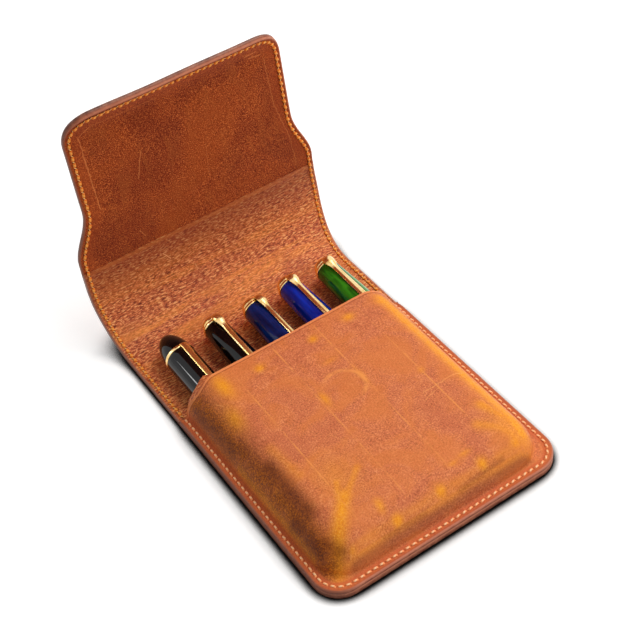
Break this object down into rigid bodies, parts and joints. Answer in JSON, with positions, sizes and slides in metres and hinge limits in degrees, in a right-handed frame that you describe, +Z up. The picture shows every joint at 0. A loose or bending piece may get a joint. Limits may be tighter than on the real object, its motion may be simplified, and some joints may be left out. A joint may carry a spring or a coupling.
{
  "type": "leather pen pouch",
  "caption": "Moulded leather pen pouch standing open: capped pens lie side by side in a formed front pocket, below a flap that folds over the mouth and shuts on magnets.",
  "frame": {"origin": "on the flat underside, on the pouch's centre line, 83 mm from the bottom edge", "axes": "+Y along the pens towards the flap, +X to the right seen from the bottom edge, +Z up"},
  "size_m": [0.1316, 0.2044, 0.1284],
  "materials": {
    "leather_rust": "waxed pull-up leather, satin with lighter rubbed areas",
    "leather_lining": "grained lining leather, matte with fine creases",
    "leather_suede": "napped leather, matte",
    "magnet_steel": "nickel-plated disc",
    "gold_plate": "polished gold plate",
    "resin_black": "polished resin",
    "resin_navy": "polished resin",
    "resin_blue": "polished resin",
    "resin_green": "polished striated resin"
  },
  "bodies": {
    "case": {"back_outer": "leather_rust", "back_lining": "leather_lining", "pocket_front": "leather_rust", "pen_divider": "leather_lining", "pocket_magnet": "magnet_steel"},
    "fold": {"fold_outer": "leather_rust", "fold_lining": "leather_lining"},
    "flap": {"flap_outer": "leather_rust", "flap_lining": "leather_lining", "flap_facing": "leather_suede", "flap_magnet": "magnet_steel"},
    "pen_1": {"pen_1_tip": "resin_black", "pen_1_clip": "gold_plate", "pen_1_cap": "resin_black", "pen_1_barrel": "resin_black"},
    "pen_2": {"pen_2_crown": "gold_plate", "pen_2_clip": "gold_plate", "pen_2_cap": "resin_black", "pen_2_barrel": "resin_black"},
    "pen_3": {"pen_3_crown": "gold_plate", "pen_3_clip": "gold_plate", "pen_3_cap": "resin_navy", "pen_3_barrel": "resin_navy"},
    "pen_4": {"pen_4_crown": "gold_plate", "pen_4_clip": "gold_plate", "pen_4_cap": "resin_blue", "pen_4_barrel": "resin_blue"},
    "pen_5": {"pen_5_crown": "gold_plate", "pen_5_clip": "gold_plate", "pen_5_cap": "resin_green", "pen_5_barrel": "resin_green"}
  },
  "joints": [
    {"name": "lower_fold", "type": "hinge", "parent": "case", "child": "fold", "pos_m": [0, 0.08617, 0.00205], "axis": [-1, 0, 0], "range_deg": [-54, 5]},
    {"name": "upper_fold", "type": "hinge", "parent": "fold", "child": "flap", "pos_m": [0, 0.10373, 0.01121], "axis": [-1, 0, 0], "range_deg": [-40, 80]},
    {"name": "pen_1_slide", "type": "slide", "parent": "case", "child": "pen_1", "axis": [0, 1, 0], "range_m": [0, 0.01]},
    {"name": "pen_2_slide", "type": "slide", "parent": "case", "child": "pen_2", "axis": [0, 1, 0], "range_m": [0, 0.01]},
    {"name": "pen_3_slide", "type": "slide", "parent": "case", "child": "pen_3", "axis": [0, 1, 0], "range_m": [0, 0.01]},
    {"name": "pen_4_slide", "type": "slide", "parent": "case", "child": "pen_4", "axis": [0, 1, 0], "range_m": [0, 0.01]},
    {"name": "pen_5_slide", "type": "slide", "parent": "case", "child": "pen_5", "axis": [0, 1, 0], "range_m": [0, 0.01]}
  ]
}
